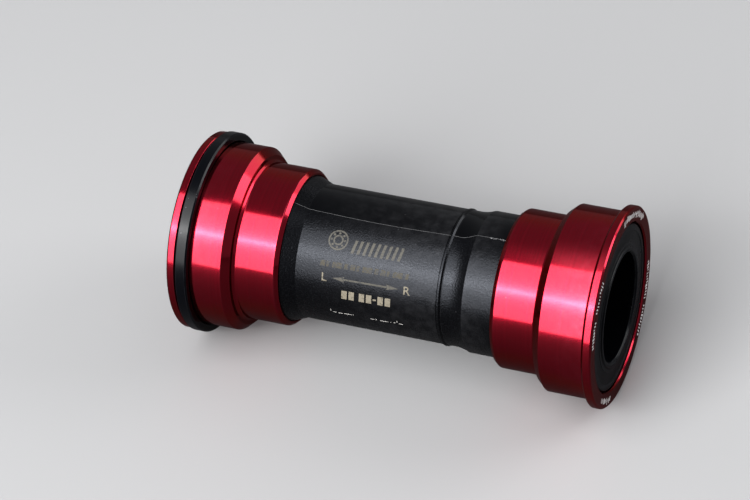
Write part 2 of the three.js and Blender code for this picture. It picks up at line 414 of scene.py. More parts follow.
def mix(tree, mask, first, second):
    """Colour first where the mask is 0 and second where it is 1."""
    made = add(tree, "ShaderNodeMix", {"Factor": mask}, data_type="RGBA")
    join(tree, first, made.inputs[6])
    join(tree, second, made.inputs[7])
    return made.outputs[2]


def remap(tree, value, low, high, to_low, to_high):
    """Maps low..high of a value to to_low..to_high, clamped."""
    made = add(tree, "ShaderNodeMapRange", {0: value, 1: low, 2: high, 3: to_low, 4: to_high})
    return made.outputs[0]


def bumps(tree, rows):
    """Stacks Bump nodes, (height, depth in metres) each, and returns the last normal."""
    normal = None
    for height, depth in rows:
        made = add(tree, "ShaderNodeBump", {"Height": height, "Distance": depth, "Strength": 1.0})
        if normal is not None:
            tree.links.new(normal, made.inputs["Normal"])
        normal = made.outputs[0]
    return normal


print("material helpers ready")

# %% [markdown]
# ## Red anodised aluminium
#
# Anodising grows a clear oxide skin on the turned metal and dyes it. So the colour belongs to
# the metal's reflection, deep crimson, and the clear skin adds a white gloss of its own, which
# is why a bright lamp turns pink on it. The metal keeps its lathe rings, each a hair's breadth
# apart, which spread a reflection along the axis and leave it crisp around the part.

# %% The red finish
def red_anodised():
    finish, tree, shader = new_finish(
        "Red anodised aluminium", Metallic=1.0, Coat_Weight=0.55, Coat_Roughness=0.10, Coat_IOR=1.5,
        Specular_Tint=(0.55, 0.04, 0.08, 1.0))
    rings = effect(tree, RINGS, Pitch=0.00007)
    wear = effect(tree, WEAR, Amount=0.35, Patch_Size=0.0018)
    smudges = effect(tree, SMUDGES, Size=0.009)
    dye = mix(tree, remap(tree, rings["Shade"], 0.3, 0.7, 0.0, 1.0),
              (0.36, 0.0034, 0.022, 1.0), (0.41, 0.0044, 0.027, 1.0))
    worn = mix(tree, wear["Mask"], dye, (0.55, 0.05, 0.09, 1.0))
    join(tree, mix(tree, calc(tree, "MULTIPLY", smudges["Dust"], 0.12), worn, (0.5, 0.30, 0.32, 1.0)),
         shader["Base Color"])
    join(tree, remap(tree, smudges["Smudge"], 0.35, 0.7, 0.13, 0.19), shader["Roughness"])
    join(tree, bumps(tree, [(rings["Height"], 0.0000018), (rings["Shade"], 0.0000022)]), shader["Normal"])
    return finish


RED = red_anodised()
print(RED.name)

# %% [markdown]
# ## Satin black plastic and black spacer
#
# The dust covers are smooth mouldings with a faint texture, and the spacer is the same black
# with the marks of turning. Both are near black with a cold cast, and their gloss is soft
# enough to show the lamp as a grey band.

# %% The satin black finishes
def satin_black(name, ring_depth, grain_depth, roughness, **values):
    finish, tree, shader = new_finish(name, Metallic=0.0, **values)
    rings = effect(tree, RINGS, Pitch=0.00016)
    grain = effect(tree, GRAIN, Size=0.00012)
    wear = effect(tree, WEAR, Amount=0.5, Patch_Size=0.0025)
    smudges = effect(tree, SMUDGES, Size=0.010)
    # Grain peaks painted lighter than the rest: a painted glint on the black.
    base = mix(tree, grain["Glint Peaks"], (0.0008, 0.0012, 0.0028, 1.0), (0.0020, 0.0026, 0.0050, 1.0))
    worn = mix(tree, wear["Mask"], base, (0.045, 0.048, 0.055, 1.0))
    join(tree, mix(tree, calc(tree, "MULTIPLY", smudges["Dust"], 0.3), worn, (0.20, 0.20, 0.21, 1.0)),
         shader["Base Color"])
    join(tree, remap(tree, smudges["Smudge"], 0.35, 0.7, roughness - 0.05, roughness + 0.07),
         shader["Roughness"])
    join(tree, bumps(tree, [(rings["Height"], ring_depth), (grain["Height"], grain_depth)]),
         shader["Normal"])
    return finish


COVER_BLACK = satin_black("Satin black cover", 0.0000010, 0.0000025, 0.30, IOR=1.33)
SPACER_BLACK = satin_black("Satin black spacer", 0.0000016, 0.0000010, 0.20, IOR=1.36)
print(COVER_BLACK.name, "and", SPACER_BLACK.name)

# %% [markdown]
# ## Moulded black sleeve
#
# The sleeve comes out of a two-part mould. One half of the mould was spark-eroded, which
# leaves the grainy face that glitters under a lamp; the other half was polished. The two meet
# at the parting lines, so the material changes exactly there: it works out the angle about X
# and compares it with the parting line's.

# %% The sleeve's finish
PARTING = math.radians(81.4)    # angle of the front parting line, from -Y upwards
SAG = 0.45                      # how far it hangs below that along the tube, in mm
RISE = 0.75                     # how far it climbs above that on the thick band, in mm


def parting_course(tree, x):
    """The line's own course round the tube, in metres: it sags, then climbs at the band."""
    share = remap(tree, x, -0.021, 0.012, 0.0, 1.0)
    sag = calc(tree, "MULTIPLY", calc(tree, "SINE", calc(tree, "MULTIPLY", share, math.pi)), -SAG * MM)
    return calc(tree, "ADD", sag, remap(tree, x, 0.0145, 0.0173, 0.0, RISE * MM))


def moulded_black():
    finish, tree, shader = new_finish(
        "Moulded black sleeve", Metallic=0.0, IOR=1.38, Specular_Tint=(0.86, 0.90, 1.0, 1.0))
    place = add(tree, "ShaderNodeTexCoord").outputs["Object"]
    parts = add(tree, "ShaderNodeSeparateXYZ", {0: place}).outputs
    across = calc(tree, "ADD", calc(tree, "MULTIPLY", parts["Y"], math.sin(PARTING)),
                  calc(tree, "MULTIPLY", parts["Z"], math.cos(PARTING)))
    across = calc(tree, "SUBTRACT", across, parting_course(tree, parts["X"]))
    on_tube = remap(tree, parts["X"], -0.0210, -0.0208, 0.0, 1.0)
    polished = calc(tree, "MULTIPLY", remap(tree, across, -0.00004, 0.00004, 0.0, 1.0), on_tube)
    grain = effect(tree, GRAIN, Size=0.00027)
    wear = effect(tree, WEAR, Amount=0.4, Patch_Size=0.002)
    smudges = effect(tree, SMUDGES, Size=0.007)
    rough = calc(tree, "SUBTRACT", 1.0, polished)
    # The rough half's grain peaks are painted lighter: a painted glint, which the polished half lacks.
    painted_glint_speckle = mix(tree, calc(tree, "MULTIPLY", grain["Glint Peaks"], rough),
                   (0.0009, 0.0009, 0.0013, 1.0), (0.0060, 0.0062, 0.0076, 1.0))
    worn = mix(tree, wear["Mask"], painted_glint_speckle, (0.05, 0.05, 0.053, 1.0))
    white = mix(tree, whitened(tree, place, across, parts["X"]), worn, (0.42, 0.42, 0.43, 1.0))
    join(tree, mix(tree, calc(tree, "MULTIPLY", smudges["Dust"], 0.15), white, (0.25, 0.25, 0.26, 1.0)),
         shader["Base Color"])
    soft = remap(tree, smudges["Smudge"], 0.35, 0.7, 0.284, 0.292)
    glints = calc(tree, "MULTIPLY", calc(tree, "MULTIPLY", grain["Glint Peaks"], rough), 0.075)
    soft = calc(tree, "SUBTRACT", soft, glints)
    join(tree, calc(tree, "SUBTRACT", soft, calc(tree, "MULTIPLY", polished, 0.12)), shader["Roughness"])
    depth = calc(tree, "MULTIPLY", grain["Height"], remap(tree, polished, 0.0, 1.0, 1.0, 0.12))
    join(tree, bumps(tree, [(depth, 0.000040)]), shader["Normal"])
    return finish


def whitened(tree, place, across, x):
    """Ragged flaws where the plastic turned white as the parting line was trimmed."""
    near = remap(tree, calc(tree, "ABSOLUTE", across), 0.00004, 0.00075, 1.0, 0.0)
    here = calc(tree, "MULTIPLY", near, remap(tree, x, 0.0182, 0.0205, 0.0, 1.0))
    torn = add(tree, "ShaderNodeTexNoise", {"Vector": place, "Scale": 2100.0, "Detail": 4.0,
                                            "Roughness": 0.7, "Distortion": 0.8})
    return remap(tree, calc(tree, "MULTIPLY", here, torn.outputs[0]), 0.44, 0.50, 0.0, 0.85)


SLEEVE_BLACK = moulded_black()
print(SLEEVE_BLACK.name)

# %% [markdown]
# ## Steel, cage, rubber and marks
#
# The bearing's races are ground steel, its balls polished, its cage a cream nylon and its
# seals black rubber. Little of this shows unless the part is opened, but each gets its own
# grain and gloss. The marks are a thin pale print: on the cups a laser has burnt the dye away,
# and on the sleeve the ink has partly rubbed off.

# %% The other finishes
def ground_steel(name, roughness, ring_depth):
    finish, tree, shader = new_finish(name, Metallic=1.0)
    rings = effect(tree, RINGS, Pitch=0.00005)
    smudges = effect(tree, SMUDGES, Size=0.006)
    join(tree, mix(tree, rings["Shade"], (0.56, 0.57, 0.58, 1.0), (0.68, 0.68, 0.68, 1.0)),
         shader["Base Color"])
    join(tree, remap(tree, smudges["Smudge"], 0.35, 0.7, roughness * 0.8, roughness * 1.3),
         shader["Roughness"])
    join(tree, bumps(tree, [(rings["Height"], ring_depth)]), shader["Normal"])
    return finish


def cage_nylon():
    finish, tree, shader = new_finish("Cage nylon", Metallic=0.0, Subsurface_Weight=0.0)
    grain = effect(tree, GRAIN, Size=0.00018)
    smudges = effect(tree, SMUDGES, Size=0.004)
    join(tree, mix(tree, smudges["Smudge"], (0.62, 0.55, 0.38, 1.0), (0.74, 0.68, 0.52, 1.0)),
         shader["Base Color"])
    join(tree, remap(tree, smudges["Smudge"], 0.3, 0.7, 0.42, 0.58), shader["Roughness"])
    join(tree, bumps(tree, [(grain["Height"], 0.000008)]), shader["Normal"])
    return finish


def black_rubber():
    finish, tree, shader = new_finish("Black rubber", Metallic=0.0)
    grain = effect(tree, GRAIN, Size=0.00010)
    smudges = effect(tree, SMUDGES, Size=0.005)
    # Grain peaks painted lighter: a painted glint on the rubber.
    join(tree, mix(tree, grain["Glint Peaks"], (0.010, 0.010, 0.011, 1.0), (0.030, 0.030, 0.031, 1.0)),
         shader["Base Color"])
    join(tree, remap(tree, smudges["Smudge"], 0.3, 0.7, 0.62, 0.8), shader["Roughness"])
    join(tree, bumps(tree, [(grain["Height"], 0.000008)]), shader["Normal"])
    return finish


def pale_mark(name, ink, under, worn_from, worn_to, patch):
    """A thin pale mark that shows what is under it where it has rubbed off."""
    finish, tree, shader = new_finish(name, Metallic=0.0)
    place = add(tree, "ShaderNodeTexCoord").outputs["Object"]
    patches = add(tree, "ShaderNodeTexNoise", {"Vector": place, "Scale": 1 / patch, "Detail": 6.0,
                                               "Roughness": 0.65})
    grain = effect(tree, GRAIN, Size=0.00012)
    gone = remap(tree, patches.outputs[0], worn_from, worn_to, 0.0, 1.0)
    join(tree, mix(tree, gone, ink, under), shader["Base Color"])
    join(tree, remap(tree, gone, 0.0, 1.0, 0.62, 0.42), shader["Roughness"])
    join(tree, bumps(tree, [(grain["Height"], 0.000008)]), shader["Normal"])
    return finish


RACE_STEEL = ground_steel("Ground race steel", 0.24, 0.0000012)
BALL_STEEL = ground_steel("Polished ball steel", 0.07, 0.0000002)
CAGE_NYLON = cage_nylon()
RUBBER = black_rubber()
LASER = pale_mark("Laser mark", (0.82, 0.78, 0.78, 1.0), (0.22, 0.01, 0.015, 1.0), 0.56, 0.66, 0.0005)
FLASH_GREY = pale_mark("Trimmed flash", (0.075, 0.075, 0.078, 1.0), (0.010, 0.010, 0.011, 1.0),
                       0.50, 0.66, 0.0011)
FAINT_INK = pale_mark("Faint print", (0.066, 0.057, 0.038, 1.0), (0.006, 0.006, 0.007, 1.0),
                      0.47, 0.55, 0.0006)
DIM_INK = pale_mark("Dim print", (0.105, 0.098, 0.082, 1.0), (0.020, 0.020, 0.021, 1.0), 0.52, 0.64, 0.0005)
FLECK_INK = pale_mark("Print scraps", (0.72, 0.70, 0.66, 1.0), (0.30, 0.29, 0.27, 1.0), 0.54, 0.66, 0.0005)
INK = pale_mark("Clear print", (0.27, 0.24, 0.185, 1.0), (0.10, 0.09, 0.07, 1.0), 0.54, 0.66, 0.0005)
print("finishes:", len(bpy.data.materials))

# %% [markdown]
# ## The cups
#
# Each cup is turned from bar: a thin flange that stops it against the frame, a 41 mm barrel
# that fills the shell, a sloped shoulder, and a narrower neck for the sleeve. Inside, a seat
# for the bearing ends at a floor, and the bore runs on through the neck. The two cups are the
# same part turned end for end, so one function makes both.

# %% Turn the cups
BARREL_R = 20.5
BARREL_END = 12.1       # from the flange's face to the end of the barrel
SHOULDER_R = 19.0
SHOULDER_WIDTH = 1.6
NECK_R = 17.5
NECK_BORE_R = 16.35
FLANGE_WIDTH = 2.1
LIP_SLOPE = 0.85
SEAT_CLEARANCE = 0.05


def cup_corners():
    inner_x, outer_x, flange_r = span("right_cup")
    race_inner_x, _, race_r = span("right_outer_race")
    seat_r = race_r + SEAT_CLEARANCE
    floor_x = race_inner_x - SEAT_CLEARANCE
    barrel_x = outer_x - BARREL_END + 0.1
    flange_x = outer_x - FLANGE_WIDTH
    step_x = barrel_x - SHOULDER_WIDTH
    return [
        (inner_x, NECK_BORE_R, 0.04),
        (inner_x, NECK_R - 0.72, 0.12),
        (inner_x + LIP_SLOPE, NECK_R, 0.55),
        (step_x - 0.55, NECK_R, 0.55),
        (step_x, NECK_R + 0.55, 0.35),
        (step_x, SHOULDER_R, 0.10),
        (barrel_x, BARREL_R, 0.16),
        (flange_x - 0.42, BARREL_R, 0.05),
        (flange_x - 0.34, BARREL_R - 0.08, 0.04),
        (flange_x, BARREL_R - 0.08, 0.08),
        (flange_x, flange_r - 0.40, 0.05),
        (flange_x + 0.40, flange_r, 0.07),
        (outer_x - 0.34, flange_r, 0.09),
        (outer_x, flange_r - 0.34, 0.08),
        (outer_x, seat_r + 0.32, 0.05),
        (outer_x - 0.32, seat_r, 0.05),
        (floor_x, seat_r, 0.08),
        (floor_x, NECK_BORE_R, 0.06),
    ]


for side_name, side in SIDES:
    cup = turned(side_name + "_turned_cup", facing(cup_corners(), side), RED, 224)
    settle(cup, "housing", "red_anodised", side_name + "_cup")

# %% [markdown]
# ## The spacer
#
# A plain black ring slips over the left barrel and fills the shell's missing 2.5 mm. Its two
# outer corners are broken with small chamfers, which show as thin light lines.

# %% Turn the spacer
def spacer_corners():
    low_x, high_x, outer_r = span("left_shell_spacer")
    bore_r = BARREL_R + 0.2
    return [
        (low_x, bore_r, 0.08),
        (low_x, outer_r - 0.12, 0.05),
        (low_x + 0.12, outer_r, 0.05),
        (high_x - 0.32, outer_r, 0.07),
        (high_x, outer_r - 0.32, 0.07),
        (high_x, bore_r, 0.08),
    ]


spacer = turned("shell_spacer_ring", spacer_corners(), SPACER_BLACK, 224)
settle(spacer, "housing", "satin_black", "left_shell_spacer")

# %% [markdown]
# ## The dust covers
#
# A cover is a top hat. Its tube lines the bearing's bore for the spindle, a boss leans on the
# inner race, and the brim closes the cup's mouth a little below the flange. Around the bore a
# lip stands up for the crank to run against, and a shallow groove around the lip is where the
# mould's insert ended.

# %% Turn the dust covers
SPINDLE_R = 12.0
LIP_R = 13.3
LIP_HEIGHT = 0.3
BRIM_WALL = 1.0
BOSS_R = 14.0


def cover_corners():
    tube_x, lip_x, brim_r = span("right_dust_cover")
    face_x = lip_x - LIP_HEIGHT
    race_x = span("right_inner_race")[1] + SEAT_CLEARANCE
    tube_r = 12.45
    return [
        (tube_x, SPINDLE_R, 0.05),
        (tube_x, tube_r, 0.12),
        (race_x, tube_r, 0.05),
        (race_x, BOSS_R, 0.10),
        (face_x - BRIM_WALL, BOSS_R, 0.15),
        (face_x - BRIM_WALL, brim_r, 0.10),
        (face_x, brim_r, 0.22),
        (face_x, 16.95, 0.04),
        (face_x - 0.10, 16.85, 0.04),
        (face_x - 0.10, 14.25, 0.04),
        (face_x, 14.15, 0.04),
        (face_x, LIP_R + 0.05, 0.10),
        (lip_x, LIP_R - 0.25, 0.18),
        (lip_x, SPINDLE_R + 0.42, 0.25),
        (lip_x - 0.42, SPINDLE_R, 0.25),
    ]


for side_name, side in SIDES:
    cover = turned(side_name + "_cover", facing(cover_corners(), side), COVER_BLACK)
    settle(cover, side_name + "_inner_ring", "satin_black", side_name + "_dust_cover")

# %% [markdown]
# ## The sleeve
#
# The sleeve's outside is a formula rather than a list: a plug inside each cup, a cone down to
# the tube at the left, a thin bead between two hair grooves, and a cove that curls up to the
# crisp edge of a thicker band at the right. Writing it as a function of x lets the parting
# lines and the print ride on the same surface later.

# %% The sleeve's profile
PLUG_R = 16.2
TUBE_R = 14.9
BAND_R = 15.6
RING_GROOVE_R = 15.25
RING_GROOVE_HALF = 0.75
CONE_FROM, CONE_TO = -24.1, -20.9
BEAD_FROM, BEAD_TO = 11.30, 12.48
COVE_FROM, COVE_TO = 12.5, 17.35
COVE_DIP = 0.10


def sleeve_radius(x):
    """Outer radius of the sleeve between the cups, in millimetres."""
    if x < CONE_TO:
        share = min(1.0, (CONE_TO - x) / (CONE_TO - CONE_FROM))
        return TUBE_R + (PLUG_R - TUBE_R) * share
    if x < COVE_FROM:
        return TUBE_R
    if x < COVE_TO:
        share = (x - COVE_FROM) / (COVE_TO - COVE_FROM)
        return TUBE_R - COVE_DIP * math.sin(math.pi * share) + (BAND_R - TUBE_R) * share ** 2.4
    return BAND_R


def stations(start, stop, count):
    """Evenly spaced values of x, both ends included."""
    return [start + (stop - start) * i / (count - 1) for i in range(count)]


def bead_corners():
    """The bead: a hair groove, a narrow flat crest, a bevel on the right and a second groove."""
    low, high, crest = TUBE_R - 0.13, TUBE_R - 0.11, TUBE_R + 0.25
    return [(BEAD_FROM, TUBE_R, 0.03), (BEAD_FROM + 0.07, low, 0.03), (BEAD_FROM + 0.17, low, 0.03),
            (BEAD_FROM + 0.27, crest, 0.06), (BEAD_FROM + 0.62, crest, 0.06), (BEAD_TO - 0.19, high, 0.03),
            (BEAD_TO - 0.08, high, 0.03), (BEAD_TO, TUBE_R, 0.03)]


def ring_groove(x):
    """The groove that holds an O-ring, centred on x."""
    low, high = x - RING_GROOVE_HALF, x + RING_GROOVE_HALF
    return [(low, PLUG_R, 0.06), (low, RING_GROOVE_R, 0.12),
            (high, RING_GROOVE_R, 0.12), (high, PLUG_R, 0.06)]


def sleeve_corners():
    low_x, high_x, _ = span("centre_sleeve")
    ring_x = sum(span("right_sleeve_ring")[:2]) / 2
    cove = stations(COVE_FROM + 0.12, COVE_TO - 0.12, 25)
    outer = [(low_x, PLUG_R, 0.3), *ring_groove(-ring_x), (CONE_FROM, PLUG_R, 0.05), (CONE_TO, TUBE_R, 0.06)]
    outer += bead_corners()
    outer += [(x, sleeve_radius(x), 0) for x in cove]
    outer += [(COVE_TO, BAND_R, 0.09), (24.5, BAND_R, 0.1), (25.1, PLUG_R, 0.1)]
    outer += [*ring_groove(ring_x), (high_x, PLUG_R, 0.3)]
    inner = [(high_x, 14.3, 0.15), (24.5, 14.3, 0.3), (20.9, 13.6, 0.3)]
    return outer + inner + [(-x, radius, rounding) for x, radius, rounding in reversed(inner)]


sleeve = turned("sleeve_moulding", sleeve_corners(), SLEEVE_BLACK)
settle(sleeve, "housing", "moulded_black", "centre_sleeve")

# %% [markdown]
# ## Parting lines
#
# Where the mould's halves met, a hair of plastic squeezed out. It is a curve that follows the
# sleeve's surface, so a geometry tree sweeps a small round bead along it: noise makes it
# thinner and thicker, and it is sunk a little so that only its crest stands proud.

# %% Sweep the parting lines
def flash_tree():
    tree = bpy.data.node_groups.new("Sweep a flash line", "GeometryNodeTree")
    given, result = sockets(
        tree,
        [("Path", "Geometry", None), ("Radius", "Float", 0.00006), ("Unevenness", "Float", 0.6),
         ("Material", "Material", None)],
        [("Line", "Geometry", None)],
    )
    curve = add(tree, "GeometryNodeMeshToCurve", {"Mesh": given["Path"]})
    place = add(tree, "GeometryNodeInputPosition").outputs[0]
    ragged = add(tree, "ShaderNodeTexNoise", {"Vector": place, "Scale": 900.0, "Detail": 3.0})
    swing = calc(tree, "MULTIPLY", calc(tree, "SUBTRACT", ragged.outputs[0], 0.5), given["Unevenness"])
    scale = calc(tree, "ADD", 1.0, calc(tree, "MULTIPLY", swing, 2.0))
    profile = add(tree, "GeometryNodeCurvePrimitiveCircle", {"Resolution": 8, "Radius": given["Radius"]})
    swept = add(tree, "GeometryNodeCurveToMesh",
                {"Curve": curve.outputs[0], "Profile Curve": profile.outputs[0], "Fill Caps": True})
    tree.links.new(scale, swept.inputs["Scale"])
    smooth = add(tree, "GeometryNodeSetShadeSmooth", {"Geometry": swept.outputs[0]})
    finish_geometry(tree, smooth.outputs[0], given["Material"], result["Line"])
    return tree


def on_sleeve(x, angle, lift=0.0):
    """A point on the sleeve, in metres; the angle is from -Y upwards."""
    radius = (sleeve_radius(x) + lift) * MM
    return Vector((x * MM, -radius * math.cos(angle), radius * math.sin(angle)))


def parting_drift(x):
    """The same course as the finish follows, in millimetres around the tube."""
    share = min(1.0, max(0.0, (x + 21.0) / 33.0))
    climb = min(1.0, max(0.0, (x - 14.5) / 2.8))
    return RISE * climb - SAG * math.sin(math.pi * share)


def flash_line(name, start, stop, angle, side, radius, material):
    """One flash line along the sleeve, in a plain mesh; side is -1 at the back."""
    count = int((stop - start) / 0.12) + 2
    points = []
    for x in stations(start, stop, count):
        drift = side * parting_drift(x) + 0.04 * noise.noise(Vector((x * 1.4, angle, 3.0)))
        points.append(on_sleeve(x, angle + drift / TUBE_R, -0.3 * radius / MM))
    mesh = bpy.data.meshes.new(name + "_path")
    mesh.from_pydata(points, [(i, i + 1) for i in range(count - 1)], [])
    return run_tree(FLASH, name, mesh, {"Radius": radius, "Material": material})


FLASH = flash_tree()
front_line = flash_line("parting_line_front", -23.9, 23.9, PARTING, 1, 0.00007, FLASH_GREY)
back_line = flash_line("parting_line_back", -23.9, 23.9, PARTING + math.pi, -1, 0.00006, FLASH_GREY)
for line in (front_line, back_line):
    settle(line, "housing", "moulded_black")

# %% [markdown]
# ## O-rings
#
# Each end of the sleeve carries a rubber ring in a groove, which seals it in the cup's bore.
# Pressed between the two it is slightly flattened, so its section is an oval.

# %% The sleeve's O-rings
for side_name, side in SIDES:
    low_x, high_x, ring_r = span(side_name + "_sleeve_ring")
    middle_x, half = (low_x + high_x) / 2, (high_x - low_x) / 2
    oval = [(middle_x - half * 1.1 * math.cos(turn), ring_r - 0.43 + 0.47 * math.sin(turn), 0)
            for turn in (math.tau * i / 20 for i in range(20))]
    ring = turned(side_name + "_o_ring", oval, RUBBER, 144)
    settle(ring, "housing", "seal_rubber", side_name + "_sleeve_ring")

# %% [markdown]
# ## Bearing races and seals
#
# Both races are ground rings with a groove that is a little wider than the balls. Each side of
# the bearing is closed by a rubber seal: its bead snaps into a recess of the outer race, and
# its thin lip reaches down to the inner one.

# %% Turn the races and seals
PITCH_R = 15.5
GROOVE_R = 1.9
LAND = 1.1
RECESS = 0.3
SEAL_WIDTH = 0.6


def groove(middle_x, from_angle, to_angle):
    """Points of a ball groove, a circular arc about the pitch circle."""
    return [(middle_x + GROOVE_R * math.cos(math.radians(angle)),
             PITCH_R + GROOVE_R * math.sin(math.radians(angle)), 0)
            for angle in stations(from_angle, to_angle, 17)]


def outer_race_corners(low_x, high_x, outer_r):
    middle, land, width = (low_x + high_x) / 2, PITCH_R + LAND, SEAL_WIDTH + 0.1
    rise = math.degrees(math.asin(LAND / GROOVE_R))
    return [
        (low_x, outer_r, 0.3), (high_x, outer_r, 0.3),
        (high_x, land + RECESS, 0.08), (high_x - width, land + RECESS, 0.04), (high_x - width, land, 0.04),
        *groove(middle, rise, 180 - rise),
        (low_x + width, land, 0.04), (low_x + width, land + RECESS, 0.04), (low_x, land + RECESS, 0.08),
    ]


def inner_race_corners(low_x, high_x, outer_r):
    middle = (low_x + high_x) / 2
    rise = math.degrees(math.asin(LAND / GROOVE_R))
    return [
        (high_x, outer_r, 0.08), (high_x, 12.5, 0.3), (low_x, 12.5, 0.3), (low_x, outer_r, 0.08),
        *groove(middle, 180 + rise, 360 - rise),
    ]


def seal_corners(low_x, high_x, outer_r):
    lip_r = PITCH_R - LAND + 0.15
    return [
        (low_x, outer_r, 0.12), (high_x, outer_r, 0.12),
        (high_x, outer_r - 0.55, 0.05), (high_x - 0.12, outer_r - 0.70, 0.05),
        (high_x - 0.12, lip_r + 0.75, 0.05), (high_x, lip_r + 0.60, 0.05),
        (high_x, lip_r + 0.12, 0.05), (high_x - 0.18, lip_r, 0.04),
        (low_x + 0.18, lip_r, 0.04), (low_x, lip_r + 0.12, 0.05),
    ]


for side_name, side in SIDES:
    ring_body = side_name + "_inner_ring"
    outer_corners = outer_race_corners(*span(side_name + "_outer_race"))
    outer = turned(side_name + "_race_outer", outer_corners, RACE_STEEL, 160)
    settle(outer, "housing", "bearing_steel", side_name + "_outer_race")
    inner_corners = inner_race_corners(*span(side_name + "_inner_race"))
    inner = turned(side_name + "_race_inner", inner_corners, RACE_STEEL, 160)
    settle(inner, ring_body, "bearing_steel", side_name + "_inner_race")
    for which in ("outer", "inner"):
        node_name = f"{side_name}_{which}_seal"
        lip = turned(f"{side_name}_seal_{which}", seal_corners(*span(node_name)), RUBBER, 144)
        settle(lip, "housing", "seal_rubber", node_name)

# %% [markdown]
# ## Balls and cage
#
# Sixteen balls share the pitch circle, held apart by a snap-in crown cage. Both repeat around
# a circle, so both are geometry trees: one puts a sphere on each point of the circle, the
# other takes a turned band and cuts a round pocket at each point with a boolean. Its solver is
# named, because the node's default, the float one, tears this band however many columns it
# has, while the exact and manifold solvers both close it and agree on its volume.

# %% The ball tree and the cage tree
BALL_COUNT = 16


def circle_points(tree, count, radius, middle_x):
    """Points around the pitch circle, the first on +Y as in the CAD model."""
    points = add(tree, "GeometryNodePoints", {"Count": count})
    index = add(tree, "GeometryNodeInputIndex").outputs[0]
    angle = calc(tree, "MULTIPLY", calc(tree, "DIVIDE", index, count), 2 * math.pi)
    place = add(tree, "ShaderNodeCombineXYZ", {
        "X": middle_x,
        "Y": calc(tree, "MULTIPLY", radius, calc(tree, "COSINE", angle)),
        "Z": calc(tree, "MULTIPLY", radius, calc(tree, "SINE", angle)),
    })
    placed = add(tree, "GeometryNodeSetPosition",
                 {"Geometry": points.outputs[0], "Position": place.outputs[0]})
    return placed.outputs[0], angle


def ball_tree():
    tree = bpy.data.node_groups.new("Balls on the pitch circle", "GeometryNodeTree")
    given, result = sockets(
        tree,
        [("Geometry", "Geometry", None), ("Count", "Int", BALL_COUNT), ("Ball Radius", "Float", 0.00175),
         ("Pitch Radius", "Float", 0.0155), ("Middle", "Float", 0.0), ("Material", "Material", None)],
        [("Balls", "Geometry", None)],
    )
    points, _ = circle_points(tree, given["Count"], given["Pitch Radius"], given["Middle"])
    ball = add(tree, "GeometryNodeMeshUVSphere",
               {"Segments": 32, "Rings": 20, "Radius": given["Ball Radius"]})
    placed = add(tree, "GeometryNodeInstanceOnPoints", {"Points": points, "Instance": ball.outputs[0]})
    smooth = add(tree, "GeometryNodeSetShadeSmooth", {"Geometry": placed.outputs[0]})
    finish_geometry(tree, smooth.outputs[0], given["Material"], result["Balls"])
    return tree


def cage_tree():
    tree = bpy.data.node_groups.new("Cut the cage pockets", "GeometryNodeTree")
    given, result = sockets(
        tree,
        [("Band", "Geometry", None), ("Count", "Int", BALL_COUNT), ("Pocket Radius", "Float", 0.00192),
         ("Pitch Radius", "Float", 0.0155), ("Middle", "Float", 0.0), ("Material", "Material", None)],
        [("Cage", "Geometry", None)],
    )
    points, angle = circle_points(tree, given["Count"], given["Pitch Radius"], given["Middle"])
    tool = add(tree, "GeometryNodeMeshCylinder",
               {"Vertices": 40, "Radius": given["Pocket Radius"], "Depth": 0.005})
    tilt = add(tree, "ShaderNodeCombineXYZ", {"X": calc(tree, "SUBTRACT", angle, math.pi / 2)})
    tools = add(tree, "GeometryNodeInstanceOnPoints",
                {"Points": points, "Instance": tool.outputs["Mesh"], "Rotation": tilt.outputs[0]})
    real_tools = add(tree, "GeometryNodeRealizeInstances", {"Geometry": tools.outputs[0]})
    cut = add(tree, "GeometryNodeMeshBoolean", {"Mesh 1": given["Band"]},
              operation="DIFFERENCE", solver="MANIFOLD")
    tree.links.new(real_tools.outputs[0], cut.inputs["Mesh 2"])
    finish_geometry(tree, cut.outputs["Mesh"], given["Material"], result["Cage"])
    return tree


BALLS = ball_tree()
CAGE = cage_tree()
print("trees:", BALLS.name, "and", CAGE.name)

# %% [markdown]
# The cage's band is turned first, with rounded edges, and then goes through the second tree.
# Each side's balls are one mesh that stands for the sixteen CAD balls, since they all ride on
# the same body.

# %% Make both ball sets
CAGE_HALF_HEIGHT = 0.8


def cage_corners(low_x, high_x):
    top, bottom = PITCH_R + CAGE_HALF_HEIGHT, PITCH_R - CAGE_HALF_HEIGHT
    return [(low_x, top, 0.12), (high_x, top, 0.12), (high_x, bottom, 0.12), (low_x, bottom, 0.12)]


for side_name, side in SIDES:
    set_body = side_name + "_ball_set"
    race_low, race_high, _ = span(side_name + "_outer_race")
    middle = (race_low + race_high) / 2 * MM
    band_corners = cage_corners(*span(side_name + "_ball_cage")[:2])
    band = turned(side_name + "_cage_band", band_corners, CAGE_NYLON, 128)
    cage = run_tree(CAGE, side_name + "_crown_cage", band.data, {"Middle": middle, "Material": CAGE_NYLON})
    bpy.data.objects.remove(band)
    cage.data.shade_smooth()
    cage.data.set_sharp_from_angle(angle=math.radians(35))
    settle(cage, set_body, "cage_plastic", side_name + "_ball_cage")
    empty = bpy.data.meshes.new(side_name + "_seed")
    balls = run_tree(BALLS, side_name + "_balls", empty, {"Middle": middle, "Material": BALL_STEEL})
    settle(balls, set_body, "ball_steel", *[f"{side_name}_ball_{i:02d}" for i in range(1, BALL_COUNT + 1)])

# %% [markdown]
# ## Marks on the flanges
#
# A laser has burnt six groups of small signs into the face of each flange. What they say is
# left out: here they are plain ticks of uneven width and height, like a scale. A tree stands a
# row of small bars on an arc and gives each its own size from a seeded random value.

